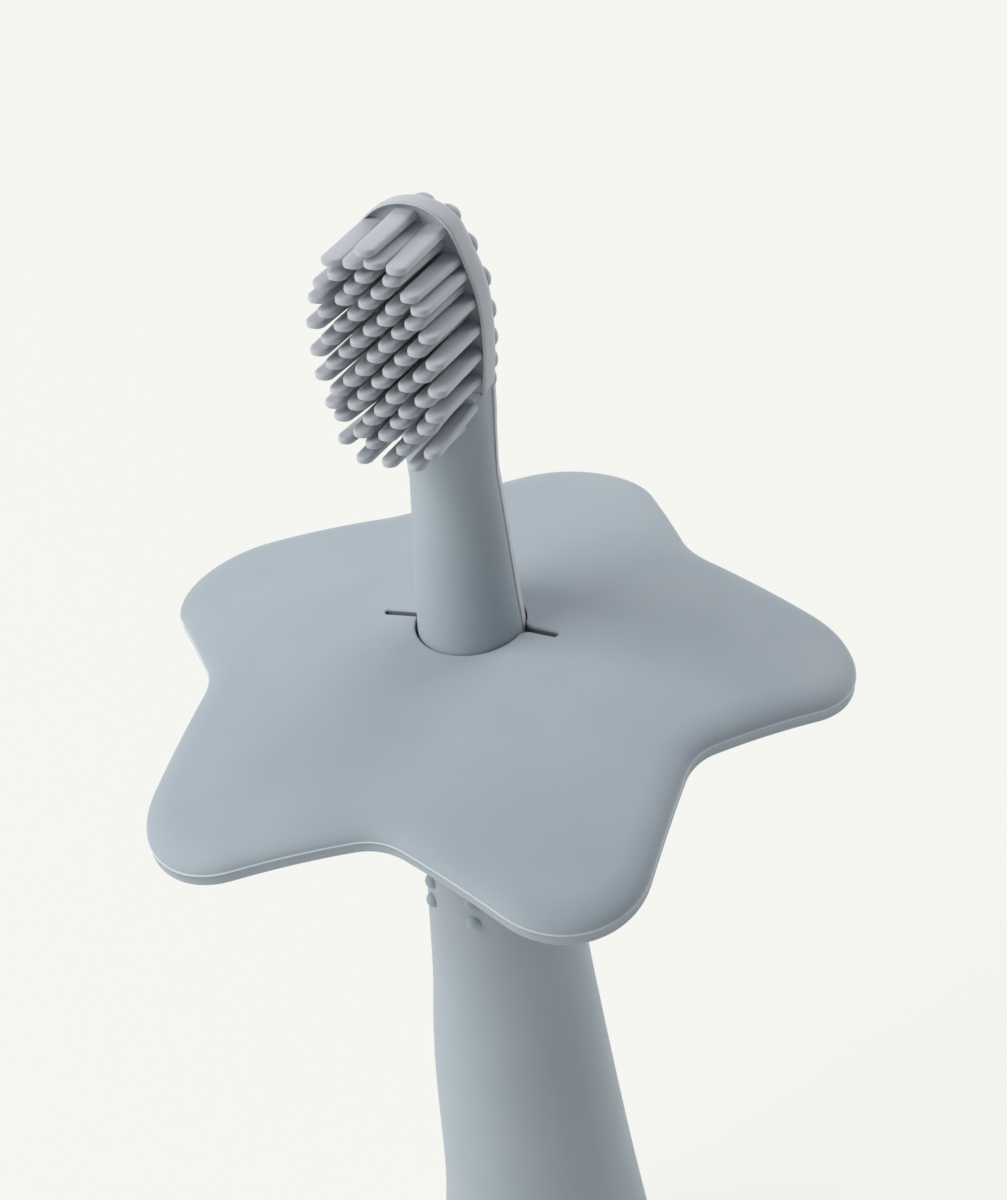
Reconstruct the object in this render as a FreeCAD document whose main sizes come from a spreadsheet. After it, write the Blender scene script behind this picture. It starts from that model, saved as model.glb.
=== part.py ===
"""A child's training toothbrush in soft rubber: a tapered handle, a head of flat rubber
tines and a domed star guard that threads over the neck and keeps the brush out of the throat.

Millimetres. The foot of the handle stands on z = 0, the brush points up along +Z and the
tines face the front, -Y.
"""
import FreeCAD, Part
import Sketcher
import math
import os

doc = FreeCAD.newDocument("toothbrush")

# Driving sizes, one row each: name, value, meaning
ROWS = [
    ("foot_radius", 12.05, "handle radius at the foot, before its edge is rounded"),
    ("foot_round", 4.0, "rounding of the foot's edge"),
    ("waist_radius", 8.12, "handle radius half way up its hollow flank"),
    ("waist_share", 0.558, "height of that place as a share of the shoulder's height"),
    ("shoulder_radius", 6.2, "handle radius at the shoulder under the guard"),
    ("shoulder_round", 0.4, "rounding of the shoulder's edge"),
    ("neck_seat_radius", 5.3, "neck radius where the guard sits"),
    ("neck_radius", 4.22, "neck radius at its narrowest"),
    ("neck_length", 24.1, "length from the guard's crown to the low end of the head"),
    ("neck_drop", 6.5, "distance from the head's low end down to the neck's narrowest place"),
    ("flare_half_width", 4.65, "half width of the neck where it meets the head"),
    ("flare_half_depth", 3.6, "half depth of the neck where it meets the head"),
    ("flare_rise", 2.0, "height over the head's low end at which the neck meets the head"),
    ("flare_setback", 0.4, "how far the neck's upper end lies behind the axis"),
    ("blend_half_width", 3.0, "half width of the neck's end on the head's back"),
    ("blend_half_depth", 0.7, "half depth of the neck's end on the head's back"),
    ("blend_rise", 10.5, "height of the neck's end over the head's low end"),
    ("strip_front", 0.4, "how far behind the axis the head's strip down the neck begins"),
    ("bump_radius", 0.8, "radius of a grip bump"),
    ("bump_drop", 21.3, "distance from the shoulder down to the highest ring of grip bumps"),
    ("bump_pitch", 2.2, "height from one ring of grip bumps to the next"),
    ("bump_sink", 0.1, "how far a grip bump's centre lies under the surface"),
    ("guard_thickness", 3.0, "thickness of the guard"),
    ("guard_dome_radius", 95.0, "radius of the guard's domed top"),
    ("guard_tip_radius", 36.4, "radius of the circle through the star's tips"),
    ("guard_valley_radius", 26.0, "radius of the circle through the star's valleys"),
    ("guard_tip_round", 8.0, "rounding of a star tip"),
    ("guard_valley_round", 8.7, "rounding of a star valley"),
    ("star_shift_side", 0.45, "how far the star's middle lies to the side of the hole"),
    ("star_shift_front", 1.0, "how far the star's middle lies before the hole"),
    ("guard_top_round", 1.6, "rounding of the guard's upper edge"),
    ("guard_under_round", 0.6, "rounding of the guard's lower edge"),
    ("guard_clearance", 0.2, "room between the neck and the guard's hole"),
    ("guard_seat_gap", 0.15, "room between the shoulder and the guard"),
    ("guard_turn", 4.8, "degrees by which the guard sits turned on the neck"),
    ("slit_length", 17.9, "length of the slit across the hole, end to end"),
    ("slit_width", 0.7, "width of the slit"),
    ("slit_corner_round", 0.7, "rounding where the slit meets the hole"),
    ("head_half_width", 7.0, "half width of the head at its widest"),
    ("head_top_height", 141.6, "height of the top of the head"),
    ("head_length", 25.1, "length of the head from its low end to its top"),
    ("head_wide_share", 0.462, "distance from the top to the widest place over the length"),
    ("head_shoulder_share", 1.9, "radius of the upper flanks over the height they span"),
    ("head_flank_share", 3.33, "radius of the lower flanks over the height they span"),
    ("head_front", 3.2, "how far the rim of the head stands before the axis"),
    ("head_depth", 4.4, "depth of the head from rim to back"),
    ("head_back_round", 3.6, "rounding of the head's back edge"),
    ("rim_width", 0.5, "width of the raised rim round the tines"),
    ("rim_height", 0.6, "height of the rim over the floor of the tines"),
    ("tine_length", 9.0, "length of a tine from the floor"),
    ("tine_width", 1.5, "width of a tine at the floor"),
    ("tine_tip_width", 1.15, "width of a tine at the start of its round tip"),
    ("tine_thickness", 0.95, "thickness of a tine"),
    ("tine_column_pitch", 1.45, "distance from one column of tines to the next"),
    ("tine_lean", 8.0, "degrees by which the tines point up"),
    ("tine_margin", 0.05, "least room between a tine and the rim"),
    ("tine_top_gap", 1.4, "distance from the floor's top to the middle of the first row"),
    ("tine_low_gap", 0.8, "distance from the floor's low end to the middle of the last row"),
    ("tine_root", 0.4, "depth of a tine's root under the floor"),
    ("nub_radius", 0.95, "radius of a round nub on the back of the head"),
    ("nub_pitch", 3.0, "distance between nubs on the back of the head"),
    ("nub_sink", 0.3, "how far a nub's centre lies under the surface"),
    ("core_foot_height", 20.0, "height of the lower end of the stiff core"),
    ("core_foot_radius", 4.6, "radius of the core's lower end"),
    ("core_stem_radius", 2.5, "radius of the core's stem in the neck"),
    ("core_stem_length", 33.0, "length of the core's stem over its taper"),
    ("core_stem_drop", 3.5, "distance from the head's low end down to the end of the stem"),
    ("core_collar_radius", 6.0, "radius of the anchor collars of the core"),
    ("core_collar_height", 3.0, "height of an anchor collar"),
    ("core_collar_pitch", 14.0, "distance between the anchor collars"),
    ("tongue_half_width", 3.0, "half width of the core's tongue in the head"),
    ("tongue_thickness", 1.4, "thickness of the core's tongue"),
    ("tongue_top_gap", 5.1, "distance from the head's top down to the top of the tongue"),
    ("tongue_drop", 10.5, "distance from the head's low end down to the root of the tongue"),
    ("tongue_setback", 0.75, "how far the tongue's middle lies before the axis"),
    ("key_radius", 0.9, "radius of the holes that key the head to the tongue"),
    ("key_pitch", 4.2, "distance between the key holes"),
    ("pick_slack", 0.02, "closeness that tells one edge from another"),
    ("overrun", 2.0, "how far a cut reaches past what it cuts"),
]
STAR_POINTS = 5
# tines in each row, from the top of the head down
TINE_ROWS = (1, 4, 3, 4, 5, 4, 5, 4, 5, 4, 5, 4, 5, 4, 3, 4, 3)
BUMP_COLUMNS = 8
BUMP_RINGS = 5
KEY_HOLES = 3
COLLARS = 2
QUARTER_TURN = 90

sheet = doc.addObject("Spreadsheet::Sheet", "Sizes")
for row, (name, value, meaning) in enumerate(ROWS, start=1):
    sheet.set(f"A{row}", meaning)
    sheet.set(f"B{row}", str(value))
    sheet.setAlias(f"B{row}", name)
doc.recompute()


class Size:
    """A length: its formula over the sheet's cells, and the formula's present value."""

    def __init__(self, text, value):
        self.text = text
        self.value = value

    def __add__(self, other):
        return Size(f"({self.text} + {other.text})", self.value + other.value)

    def __sub__(self, other):
        return Size(f"({self.text} - {other.text})", self.value - other.value)

    def __mul__(self, other):
        if isinstance(other, Size):
            return Size(f"({self.text} * {other.text})", self.value * other.value)
        return Size(f"({self.text} * {other:.12f})", self.value * other)

    def __truediv__(self, other):
        if isinstance(other, Size):
            return Size(f"({self.text} / {other.text})", self.value / other.value)
        return Size(f"({self.text} / {other:.12f})", self.value / other)

    def __neg__(self):
        return Size(f"(-1 * {self.text})", -self.value)


def root(size):
    return Size(f"sqrt({size.text})", math.sqrt(size.value))


def sine(degrees):
    return Size(f"sin({degrees.text} * 1 deg)", math.sin(math.radians(degrees.value)))


ZERO = Size("0", 0.0)
S = {name: Size(f"Sizes.{name}", value) for name, value, meaning in ROWS}

# heights that follow from the place of the head and the length of the neck
head_top = S["head_top_height"]
head_low = head_top - S["head_length"]
head_wide = head_top - S["head_length"] * S["head_wide_share"]
guard_crown = head_low - S["neck_length"]
neck_height = head_low - S["neck_drop"]
flare_height = head_low + S["flare_rise"]
blend_height = head_low + S["blend_rise"]


def bind(thing, path, size):
    thing.setExpression(path, size.text)


def new_body(name):
    return doc.addObject("PartDesign::Body", name)


def new_sketch(body, name, role, offset=ZERO):
    """A sketch on one of the body's own planes, moved along the plane's normal."""
    sketch = body.newObject("Sketcher::SketchObject", name)
    plane = next(p for p in body.Origin.OriginFeatures if p.Role == role)
    sketch.AttachmentSupport = [(plane, "")]
    sketch.MapMode = "FlatFace"
    bind(sketch, "AttachmentOffset.Base.z", offset)
    return sketch


def pin_point(sketch, geometry, end, x, y):
    """Hold one end of a line or arc at x, y from the origin of its sketch."""
    for kind, axis, size in (("DistanceX", -2, x), ("DistanceY", -1, y)):
        if size is ZERO:
            sketch.addConstraint(Sketcher.Constraint("PointOnObject", geometry, end, axis))
            continue
        index = sketch.addConstraint(
            Sketcher.Constraint(kind, -1, 1, geometry, end, size.value))
        bind(sketch, f"Constraints[{index}]", size)


def draw_outline(sketch, corners):
    """A closed outline, drawn anticlockwise. Each corner is x, y and the radius of the arc to
    the next corner: None is a straight line, and a tuple with one radius bends inwards."""
    placed = []
    for here, after in zip(corners, corners[1:] + corners[:1]):
        a = FreeCAD.Vector(here[0].value, here[1].value, 0)
        b = FreeCAD.Vector(after[0].value, after[1].value, 0)
        if here[2] is None:
            placed.append((sketch.addGeometry(Part.LineSegment(a, b)), 1, 2))
            continue
        inward = isinstance(here[2], tuple)
        radius = here[2][0] if inward else here[2]
        if inward:
            a, b = b, a
        chord = b - a
        reach = math.sqrt(radius.value ** 2 - chord.Length ** 2 / 4)
        left = FreeCAD.Vector(-chord.y, chord.x, 0).normalize()
        centre = (a + b) / 2 + left * reach
        first = math.atan2(a.y - centre.y, a.x - centre.x)
        last = math.atan2(b.y - centre.y, b.x - centre.x)
        circle = Part.Circle(centre, FreeCAD.Vector(0, 0, 1), radius.value)
        arc = sketch.addGeometry(Part.ArcOfCircle(circle, first, last))
        index = sketch.addConstraint(Sketcher.Constraint("Radius", arc, radius.value))
        bind(sketch, f"Constraints[{index}]", radius)
        placed.append((arc, 2, 1) if inward else (arc, 1, 2))
    for (line, start, end), (after, after_start, _) in zip(placed, placed[1:] + placed[:1]):
        sketch.addConstraint(Sketcher.Constraint("Coincident", line, end, after, after_start))
    for (line, start, end), corner in zip(placed, corners):
        pin_point(sketch, line, start, corner[0], corner[1])


def draw_circle(sketch, x, y, radius):
    centre = FreeCAD.Vector(x.value, y.value, 0)
    circle = sketch.addGeometry(Part.Circle(centre, FreeCAD.Vector(0, 0, 1), radius.value))
    pin_point(sketch, circle, 3, x, y)
    index = sketch.addConstraint(Sketcher.Constraint("Radius", circle, radius.value))
    bind(sketch, f"Constraints[{index}]", radius)


def revolve(body, name, sketch):
    turned = body.newObject("PartDesign::Revolution", name)
    turned.Profile = sketch
    turned.ReferenceAxis = (sketch, ["V_Axis"])
    turned.Angle = 360
    return turned


def pad(body, name, sketch, length, backwards=False, both_ways=False):
    block = body.newObject("PartDesign::Pad", name)
    block.Profile = sketch
    bind(block, "Length", length)
    block.Reversed = backwards
    block.Midplane = both_ways
    return block


def pocket_through(body, name, sketch):
    cut = body.newObject("PartDesign::Pocket", name)
    cut.Profile = sketch
    cut.Type = "ThroughAll"
    return cut


def round_edges(body, name, base, radius, wanted):
    """Round those edges of the body's last feature for which wanted(edge) is true."""
    doc.recompute()
    names = [f"Edge{n}" for n, edge in enumerate(base.Shape.Edges, start=1) if wanted(edge)]
    rounded = body.newObject("PartDesign::Fillet", name)
    rounded.Base = (base, names)
    bind(rounded, "Radius", radius)
    return rounded


def ball(name, radius, x, y, z, angle):
    """A ball whose poles point along a level angle, out of the surface that it stands on."""
    sphere = doc.addObject("Part::Sphere", name)
    sideways = FreeCAD.Vector(-math.sin(angle), math.cos(angle), 0)
    sphere.Placement.Rotation = FreeCAD.Rotation(sideways, QUARTER_TURN)
    bind(sphere, "Radius", radius)
    bind(sphere, "Placement.Base.x", x)
    bind(sphere, "Placement.Base.y", y)
    bind(sphere, "Placement.Base.z", z)
    return sphere


def join(name, pieces):
    fused = doc.addObject("Part::MultiFuse", name)
    fused.Shapes = pieces
    return fused


def loft(name, sections):
    block = doc.addObject("Part::Loft", name)
    block.Sections = sections
    block.Solid = True
    return block


def cut_away(name, base, tool):
    rest = doc.addObject("Part::Cut", name)
    rest.Base = base
    rest.Tool = tool
    return rest


# Stiff core: a turned stem with anchor collars low in the handle, and a flat tongue with key
# holes that the soft head is moulded round
core = new_body("core")
core_profile = new_sketch(core, "core_profile", "XZ_Plane")
stem_top = head_low - S["core_stem_drop"]
stem_corners = [(ZERO, S["core_foot_height"], None)]
stem_corners += [(S["core_foot_radius"], S["core_foot_height"], None)]
stem_corners += [(S["core_stem_radius"], stem_top - S["core_stem_length"], None)]
stem_corners += [(S["core_stem_radius"], stem_top, None)]
stem_corners += [(ZERO, stem_top, None)]
draw_outline(core_profile, stem_corners)
revolve(core, "core_stem", core_profile)
for n in range(COLLARS):
    low = S["core_foot_height"] + S["core_collar_pitch"] * (n + 1)
    collar_sketch = new_sketch(core, f"collar_sketch_{n}", "XY_Plane", low)
    draw_circle(collar_sketch, ZERO, ZERO, S["core_collar_radius"])
    pad(core, f"collar_{n}", collar_sketch, S["core_collar_height"])
tongue_front = S["tongue_setback"] + S["tongue_thickness"] / 2
tongue_sketch = new_sketch(core, "tongue_sketch", "XZ_Plane", tongue_front)
tongue_top = head_top - S["tongue_top_gap"]
tongue_low = head_low - S["tongue_drop"]
tongue_bend = tongue_top - S["tongue_half_width"]
tongue_corners = [(-S["tongue_half_width"], tongue_low, None)]
tongue_corners += [(S["tongue_half_width"], tongue_low, None)]
tongue_corners += [(S["tongue_half_width"], tongue_bend, S["tongue_half_width"])]
tongue_corners += [(ZERO, tongue_top, S["tongue_half_width"])]
tongue_corners += [(-S["tongue_half_width"], tongue_bend, None)]
draw_outline(tongue_sketch, tongue_corners)
pad(core, "tongue", tongue_sketch, S["tongue_thickness"], backwards=True)
key_sketch = new_sketch(core, "key_sketch", "XZ_Plane", tongue_front + S["overrun"])
for n in range(KEY_HOLES):
    draw_circle(key_sketch, ZERO, tongue_bend - S["key_pitch"] * n, S["key_radius"])
pocket_through(core, "key_holes", key_sketch)

# Star guard: a slice of a dome, cut to a five-pointed star with round tips and valleys, with a
# hole for the neck and a slit across it that lets the guard be pulled over the head
guard = new_body("star_guard")
dome_centre = guard_crown - S["guard_dome_radius"]
inner_dome = S["guard_dome_radius"] - S["guard_thickness"]
disc_radius = S["guard_tip_radius"] + S["star_shift_front"] + S["overrun"]
outer_dome = S["guard_dome_radius"]
disc_top = dome_centre + root(outer_dome * outer_dome - disc_radius * disc_radius)
disc_low = dome_centre + root(inner_dome * inner_dome - disc_radius * disc_radius)
dome_profile = new_sketch(guard, "dome_profile", "XZ_Plane")
dome_corners = [(ZERO, guard_crown - S["guard_thickness"], (inner_dome,))]
dome_corners += [(disc_radius, disc_low, None)]
dome_corners += [(disc_radius, disc_top, S["guard_dome_radius"])]
dome_corners += [(ZERO, guard_crown, None)]
draw_outline(dome_profile, dome_corners)
revolve(guard, "dome", dome_profile)

# one flank of the star, from the round of the tip on the X axis to the next valley
half_turn = math.pi / STAR_POINTS
tip_centre = S["guard_tip_radius"] - S["guard_tip_round"]
valley_centre = S["guard_valley_radius"] + S["guard_valley_round"]
step_x = valley_centre * math.cos(half_turn) - tip_centre
step_y = valley_centre * math.sin(half_turn)
step_square = step_x * step_x + step_y * step_y
both_rounds = S["guard_tip_round"] + S["guard_valley_round"]
flank = root(step_square - both_rounds * both_rounds)
normal_x = (step_x * both_rounds + step_y * flank) / step_square
normal_y = (step_y * both_rounds - step_x * flank) / step_square
tip_end = (tip_centre + S["guard_tip_round"] * normal_x, S["guard_tip_round"] * normal_y)
valley_start = (valley_centre * math.cos(half_turn) - S["guard_valley_round"] * normal_x,
                valley_centre * math.sin(half_turn) - S["guard_valley_round"] * normal_y)


def turned(point, angle, mirrored=False):
    """A point of the first flank, mirrored or not, turned to its place round the star's middle."""
    x, y = point
    if mirrored:
        y = -y
    c, s = math.cos(angle), math.sin(angle)
    return (x * c - y * s + S["star_shift_side"], x * s + y * c - S["star_shift_front"])


star_corners = []
for n in range(STAR_POINTS):
    angle = math.pi / 2 + 2 * half_turn * n
    star_corners.append(turned(tip_end, angle, mirrored=True) + (S["guard_tip_round"],))
    star_corners.append(turned(tip_end, angle) + (None,))
    star_corners.append(turned(valley_start, angle) + ((S["guard_valley_round"],),))
    star_corners.append(turned(valley_start, angle + 2 * half_turn, mirrored=True) + (None,))
above_guard = guard_crown + S["overrun"]
star_sketch = new_sketch(guard, "star_sketch", "XY_Plane", above_guard)
draw_outline(star_sketch, star_corners)
draw_circle(star_sketch, ZERO, ZERO, disc_radius + S["overrun"])
star_cut = pocket_through(guard, "star_cut", star_sketch)
hole_radius = S["neck_seat_radius"] + S["guard_clearance"]
slit_y = S["slit_width"] / 2
seat_height = dome_centre + root(inner_dome * inner_dome - hole_radius * hole_radius)
seat_height = seat_height - S["guard_seat_gap"]
near = S["pick_slack"].value


def on_dome_edge(edge, dome_radius):
    """True for an edge whose ends both lie on the dome of that radius."""
    middle = FreeCAD.Vector(0, 0, dome_centre.value)
    ends = [edge.valueAt(p) for p in (edge.FirstParameter, edge.LastParameter)]
    return all(abs((p - middle).Length - dome_radius.value) < near for p in ends)


def is_slit_corner(edge):
    """True for an upright edge where the slit meets the hole."""
    first, last = [edge.valueAt(p) for p in (edge.FirstParameter, edge.LastParameter)]
    upright = math.hypot(first.x - last.x, first.y - last.y) < near
    at_hole = abs(math.hypot(first.x, first.y) - hole_radius.value) < near
    return upright and at_hole and abs(abs(first.y) - slit_y.value) < near


upper_round = round_edges(guard, "guard_upper_round", star_cut, S["guard_top_round"],
                          lambda edge: on_dome_edge(edge, S["guard_dome_radius"]))
lower_round = round_edges(guard, "guard_lower_round", upper_round, S["guard_under_round"],
                          lambda edge: on_dome_edge(edge, inner_dome))
hole_sketch = new_sketch(guard, "hole_sketch", "XY_Plane", above_guard)
draw_circle(hole_sketch, ZERO, ZERO, hole_radius)
pocket_through(guard, "neck_hole", hole_sketch)
slit_sketch = new_sketch(guard, "slit_sketch", "XY_Plane", above_guard)
slit_x = S["slit_length"] / 2
slit_corners = [(-slit_x, -slit_y, None), (slit_x, -slit_y, None)]
slit_corners += [(slit_x, slit_y, None), (-slit_x, slit_y, None)]
draw_outline(slit_sketch, slit_corners)
slit = pocket_through(guard, "slit", slit_sketch)
round_edges(guard, "slit_corner_rounds", slit, S["slit_corner_round"], is_slit_corner)
guard.Placement.Rotation.Axis = FreeCAD.Vector(0, 0, 1)
bind(guard, "Placement.Rotation.Angle", S["guard_turn"])

# Bristle head: an egg-shaped plate with a rounded back and a raised rim, and staggered rows of
# flat tines on the floor inside the rim
plate_body = new_body("head_plate")


class Egg:
    """The head's outline moved inwards by a margin. Its right half is four arcs that run into
    each other, from the low end to the top; each is centre x, centre z, radius and two angles."""

    def __init__(self, margin):
        half = S["head_half_width"] - margin
        wide = head_wide
        shoulder = (head_top - wide) * S["head_shoulder_share"] - margin
        side = (wide - head_low) * S["head_flank_share"] - margin
        rise = head_top - margin - wide
        drop = wide - head_low - margin
        top = (shoulder * half * 2 - half * half - rise * rise) / ((shoulder - rise) * 2)
        low = (side * half * 2 - half * half - drop * drop) / ((side - drop) * 2)
        top_x = top * (shoulder - half) / (shoulder - top)
        top_z = wide + (rise - top) * shoulder / (shoulder - top)
        low_x = low * (side - half) / (side - low)
        low_z = wide - (drop - low) * side / (side - low)
        bend_up = math.asin((top_z.value - wide.value) / shoulder.value)
        bend_down = math.asin((low_z.value - wide.value) / side.value)
        self.arcs = [(ZERO, wide - drop + low, low, -math.pi / 2, bend_down),
                     (half - side, wide, side, bend_down, 0),
                     (half - shoulder, wide, shoulder, 0, bend_up),
                     (ZERO, wide + rise - top, top, bend_up, math.pi / 2)]
        self.corners = [(ZERO, wide - drop, low), (low_x, low_z, side),
                        (half, wide, shoulder), (top_x, top_z, top),
                        (ZERO, wide + rise, top), (-top_x, top_z, shoulder),
                        (-half, wide, side), (-low_x, low_z, low)]

    def half_width(self, height):
        """Half width at a height, or zero above and below the outline."""
        for x, z, radius, first, last in self.arcs:
            lift = height - z
            if math.sin(first) <= lift.value / radius.value <= math.sin(last):
                return x + root(radius * radius - lift * lift)
        return ZERO

    def place_from_top(self, distance):
        """The point at a distance along the right half, measured down from the top."""
        for x, z, radius, first, last in reversed(self.arcs):
            length = radius.value * (last - first)
            if distance <= length:
                angle = last - distance / radius.value
                return x + radius * math.cos(angle), z + radius * math.sin(angle)
            distance -= length
        return None


plate_sketch = new_sketch(plate_body, "plate_sketch", "XZ_Plane", S["head_front"])
draw_outline(plate_sketch, Egg(ZERO).corners)
plate = pad(plate_body, "plate", plate_sketch, S["head_depth"], backwards=True)
back_plane = S["head_depth"] - S["head_front"]
rounded_plate = round_edges(plate_body, "plate_back_round", plate, S["head_back_round"],
                            lambda edge: abs(edge.CenterOfMass.y - back_plane.value) < near)
floor_egg = Egg(S["rim_width"])
floor_sketch = new_sketch(plate_body, "floor_sketch", "XZ_Plane", S["head_front"])
draw_outline(floor_sketch, floor_egg.corners)
floor = plate_body.newObject("PartDesign::Pocket", "floor")
floor.Profile = floor_sketch
bind(floor, "Length", S["rim_height"])

# each row of tines is one sketch of flat tongues on a leaning plane, spread over the floor
floor_y = S["rim_height"] - S["head_front"]
root_y = floor_y + S["tine_root"]
end_y = floor_y - S["tine_length"]
tip_radius = S["tine_tip_width"] / 2
tine_half = S["tine_width"] / 2
tine_half_height = S["tine_thickness"] / 2
top_row = head_top - S["rim_width"] - S["tine_top_gap"]
last_row = head_low + S["rim_width"] + S["tine_low_gap"]
row_pitch = (top_row - last_row) / (len(TINE_ROWS) - 1)
for row, count in enumerate(TINE_ROWS):
    height = top_row - row_pitch * row
    rims = [floor_egg.half_width(height + tine_half_height)]
    rims += [floor_egg.half_width(height - tine_half_height)]
    room = min(rims, key=lambda size: size.value) - tine_half - S["tine_margin"]
    apart = S["tine_column_pitch"] * 2
    if count > 1:
        apart = min([apart, room * 2 / (count - 1)], key=lambda size: size.value)
    row_sketch = new_sketch(plate_body, f"tine_row_sketch_{row}", "XY_Plane",
                            height + floor_y * sine(S["tine_lean"]))
    row_sketch.AttachmentOffset.Rotation.Axis = FreeCAD.Vector(-1, 0, 0)
    bind(row_sketch, "AttachmentOffset.Rotation.Angle", S["tine_lean"])
    for n in range(count):
        middle = apart * (n - (count - 1) / 2)
        tine_corners = [(middle + tine_half, root_y, None), (middle - tine_half, root_y, None)]
        tine_corners += [(middle - tip_radius, end_y + tip_radius, tip_radius)]
        tine_corners += [(middle, end_y, tip_radius)]
        tine_corners += [(middle + tip_radius, end_y + tip_radius, None)]
        draw_outline(row_sketch, tine_corners)
    pad(plate_body, f"tine_row_{row}", row_sketch, S["tine_thickness"], both_ways=True)

# round nubs on the back: a row round the rounded edge, half way through its curve, and
# staggered rows on the flat
nubs = []
edge_share = 1 - math.cos(math.pi / 4)
edge_inset = S["head_back_round"] * edge_share
edge_egg = Egg(edge_inset + S["nub_sink"])
edge_y = back_plane - edge_inset - S["nub_sink"]
lowest_nub = flare_height + S["nub_radius"] * 2
step = 0
place = edge_egg.place_from_top(0)
while place and place[1].value > lowest_nub.value:
    nubs.append(ball(f"edge_nub_right_{step}", S["nub_radius"],
                     place[0], edge_y, place[1], math.pi / 2))
    if step:
        nubs.append(ball(f"edge_nub_left_{step}", S["nub_radius"],
                         -place[0], edge_y, place[1], math.pi / 2))
    step += 1
    place = edge_egg.place_from_top(step * S["nub_pitch"].value)
lowest_row = blend_height + S["nub_radius"] * 2
flat_egg = Egg(S["head_back_round"])
for row in range(int((head_top - lowest_row).value / S["nub_pitch"].value)):
    height = lowest_row + S["nub_pitch"] * row
    count = 2 - row % 2
    for n in range(count):
        across = S["nub_pitch"] * (n - (count - 1) / 2)
        if abs(across.value) <= flat_egg.half_width(height).value:
            nubs.append(ball(f"nub_{row}_{n}", S["nub_radius"],
                             across, back_plane - S["nub_sink"], height, math.pi / 2))


# Neck: a round taper that widens into the back of the head. Its front is handle rubber, and its
# back is a strip of the head's rubber that runs down to the shoulder
def section(name, half_width, half_depth, y, z):
    """A level ellipse that the neck is lofted through."""
    ellipse = doc.addObject("Part::Ellipse", name)
    bind(ellipse, "MajorRadius", half_width)
    bind(ellipse, "MinorRadius", half_depth)
    bind(ellipse, "Placement.Base.y", y)
    bind(ellipse, "Placement.Base.z", z)
    return ellipse


taper = loft("neck_taper", [
    section("seat_section", S["neck_seat_radius"], S["neck_seat_radius"], ZERO, seat_height),
    section("taper_section", S["neck_radius"], S["neck_radius"], ZERO, neck_height)])
flare = loft("neck_flare", [
    section("neck_section", S["neck_radius"], S["neck_radius"], ZERO, neck_height),
    section("flare_section", S["flare_half_width"], S["flare_half_depth"],
            S["flare_setback"], flare_height),
    section("blend_section", S["blend_half_width"], S["blend_half_depth"],
            back_plane, blend_height)])
neck = join("neck", [taper, flare])
behind = doc.addObject("Part::Box", "behind_neck")
bind(behind, "Length", S["head_half_width"] * 2)
bind(behind, "Width", S["head_half_width"])
bind(behind, "Height", blend_height - seat_height + S["overrun"])
bind(behind, "Placement.Base.x", -S["head_half_width"])
bind(behind, "Placement.Base.y", S["strip_front"])
bind(behind, "Placement.Base.z", seat_height)
strip = doc.addObject("Part::MultiCommon", "neck_strip")
strip.Shapes = [neck, behind]
soft_head = join("soft_head", [plate_body, strip] + nubs)
bristle_head = cut_away("bristle_head", soft_head, core)

# Handle: a soft cone on a flat foot, with a shoulder that carries the guard, rings of grip bumps
# and the front of the neck
grip_body = new_body("handle_grip")


def level_circle(name, radius, height):
    sketch = new_sketch(grip_body, name, "XY_Plane", height)
    draw_circle(sketch, ZERO, ZERO, radius)
    return sketch


grip = grip_body.newObject("PartDesign::AdditiveLoft", "grip")
grip.Profile = level_circle("foot_circle", S["foot_radius"], ZERO)
waist_height = seat_height * S["waist_share"]
grip.Sections = [level_circle("waist_circle", S["waist_radius"], waist_height),
                 level_circle("shoulder_circle", S["shoulder_radius"], seat_height)]
stem = grip_body.newObject("PartDesign::AdditiveLoft", "neck_stem")
stem.Profile = level_circle("stem_foot_circle", S["neck_seat_radius"], seat_height)
stem.Sections = [level_circle("stem_top_circle", S["neck_radius"], neck_height)]
foot_rounded = round_edges(grip_body, "foot_rounding", stem, S["foot_round"],
                           lambda edge: edge.Closed and abs(edge.CenterOfMass.z) < near)
round_edges(grip_body, "shoulder_rounding", foot_rounded, S["shoulder_round"],
            lambda edge: edge.Closed and abs(edge.CenterOfMass.z - seat_height.value) < near
            and edge.Length > 2 * math.pi * hole_radius.value)

# the flank is a parabola through the foot, the waist and the shoulder
lower_slope = (S["waist_radius"] - S["foot_radius"]) / waist_height
upper_slope = (S["shoulder_radius"] - S["waist_radius"]) / (seat_height - waist_height)
hollow = (upper_slope - lower_slope) / seat_height
bumps = []
for ring in range(BUMP_RINGS):
    height = seat_height - S["bump_drop"] - S["bump_pitch"] * ring
    out = S["foot_radius"] + height * (lower_slope + hollow * (height - waist_height))
    out = out - S["bump_sink"]
    for column in range(BUMP_COLUMNS):
        angle = 2 * math.pi * column / BUMP_COLUMNS - math.pi / 2
        bumps.append(ball(f"bump_{ring}_{column}", S["bump_radius"],
                          out * math.cos(angle), out * math.sin(angle), height, angle))
soft_handle = join("soft_handle", [grip_body, flare] + bumps)
front_handle = cut_away("front_handle", soft_handle, behind)
seated_handle = cut_away("seated_handle", front_handle, rounded_plate)
handle = cut_away("handle", seated_handle, core)

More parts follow.
